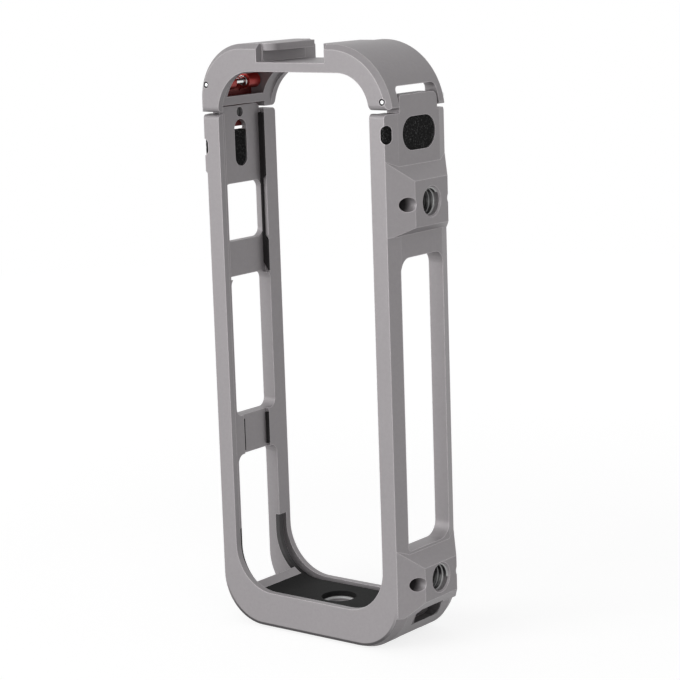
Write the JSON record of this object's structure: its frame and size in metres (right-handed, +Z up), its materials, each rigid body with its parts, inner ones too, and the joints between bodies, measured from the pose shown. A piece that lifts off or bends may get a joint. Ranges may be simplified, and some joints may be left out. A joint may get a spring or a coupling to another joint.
{
  "type": "camera cage",
  "caption": "Upright camera cage: a one-piece aluminium frame with windows and side bosses, a hinged lid with a shoe slot, and a red sprung latch lever.",
  "frame": {"origin": "centre of the tapped hole in the base, on the underside", "axes": "+X to the right seen from the front, towards the threaded bosses; +Y to the back; +Z up"},
  "size_m": [0.0571, 0.0226, 0.1374],
  "materials": {
    "anodised_frame": "bead blasted and anodised grey",
    "anodised_lid": "bead blasted and anodised grey",
    "liner_rubber": "matte",
    "cushion_strip": "matte",
    "wind_foam": "open-pored foam",
    "pin_steel": "ground",
    "spring_steel": "drawn wire",
    "red_lever": "red anodised"
  },
  "bodies": {
    "frame": {"frame": "anodised_frame", "base_liner": "liner_rubber", "left_foam": "wind_foam", "right_foam": "wind_foam", "left_front_plug": "wind_foam", "right_front_plug": "wind_foam", "left_front_upper_strip": "cushion_strip", "left_rear_upper_strip": "cushion_strip", "left_front_middle_strip": "cushion_strip", "left_rear_middle_strip": "cushion_strip", "right_front_upper_strip": "cushion_strip", "right_rear_upper_strip": "cushion_strip"},
    "lid": {"lid": "anodised_lid", "lid_pad": "liner_rubber", "hinge_pin": "pin_steel", "latch_pin": "pin_steel"},
    "latch": {"latch_lever": "red_lever", "latch_spring": "spring_steel", "latch_bolt": "pin_steel"}
  },
  "joints": [
    {"name": "lid_hinge", "type": "hinge", "parent": "frame", "child": "lid", "pos_m": [0.02514, 0, 0.12505], "axis": [0, 1, 0], "range_deg": [0, 100]},
    {"name": "latch_pivot", "type": "hinge", "parent": "lid", "child": "latch", "pos_m": [-0.02494, 0, 0.128], "axis": [0, 1, 0], "range_deg": [0, 12], "stiffness_Nm_per_rad": 0.02, "springref_deg": -17.19}
  ]
}
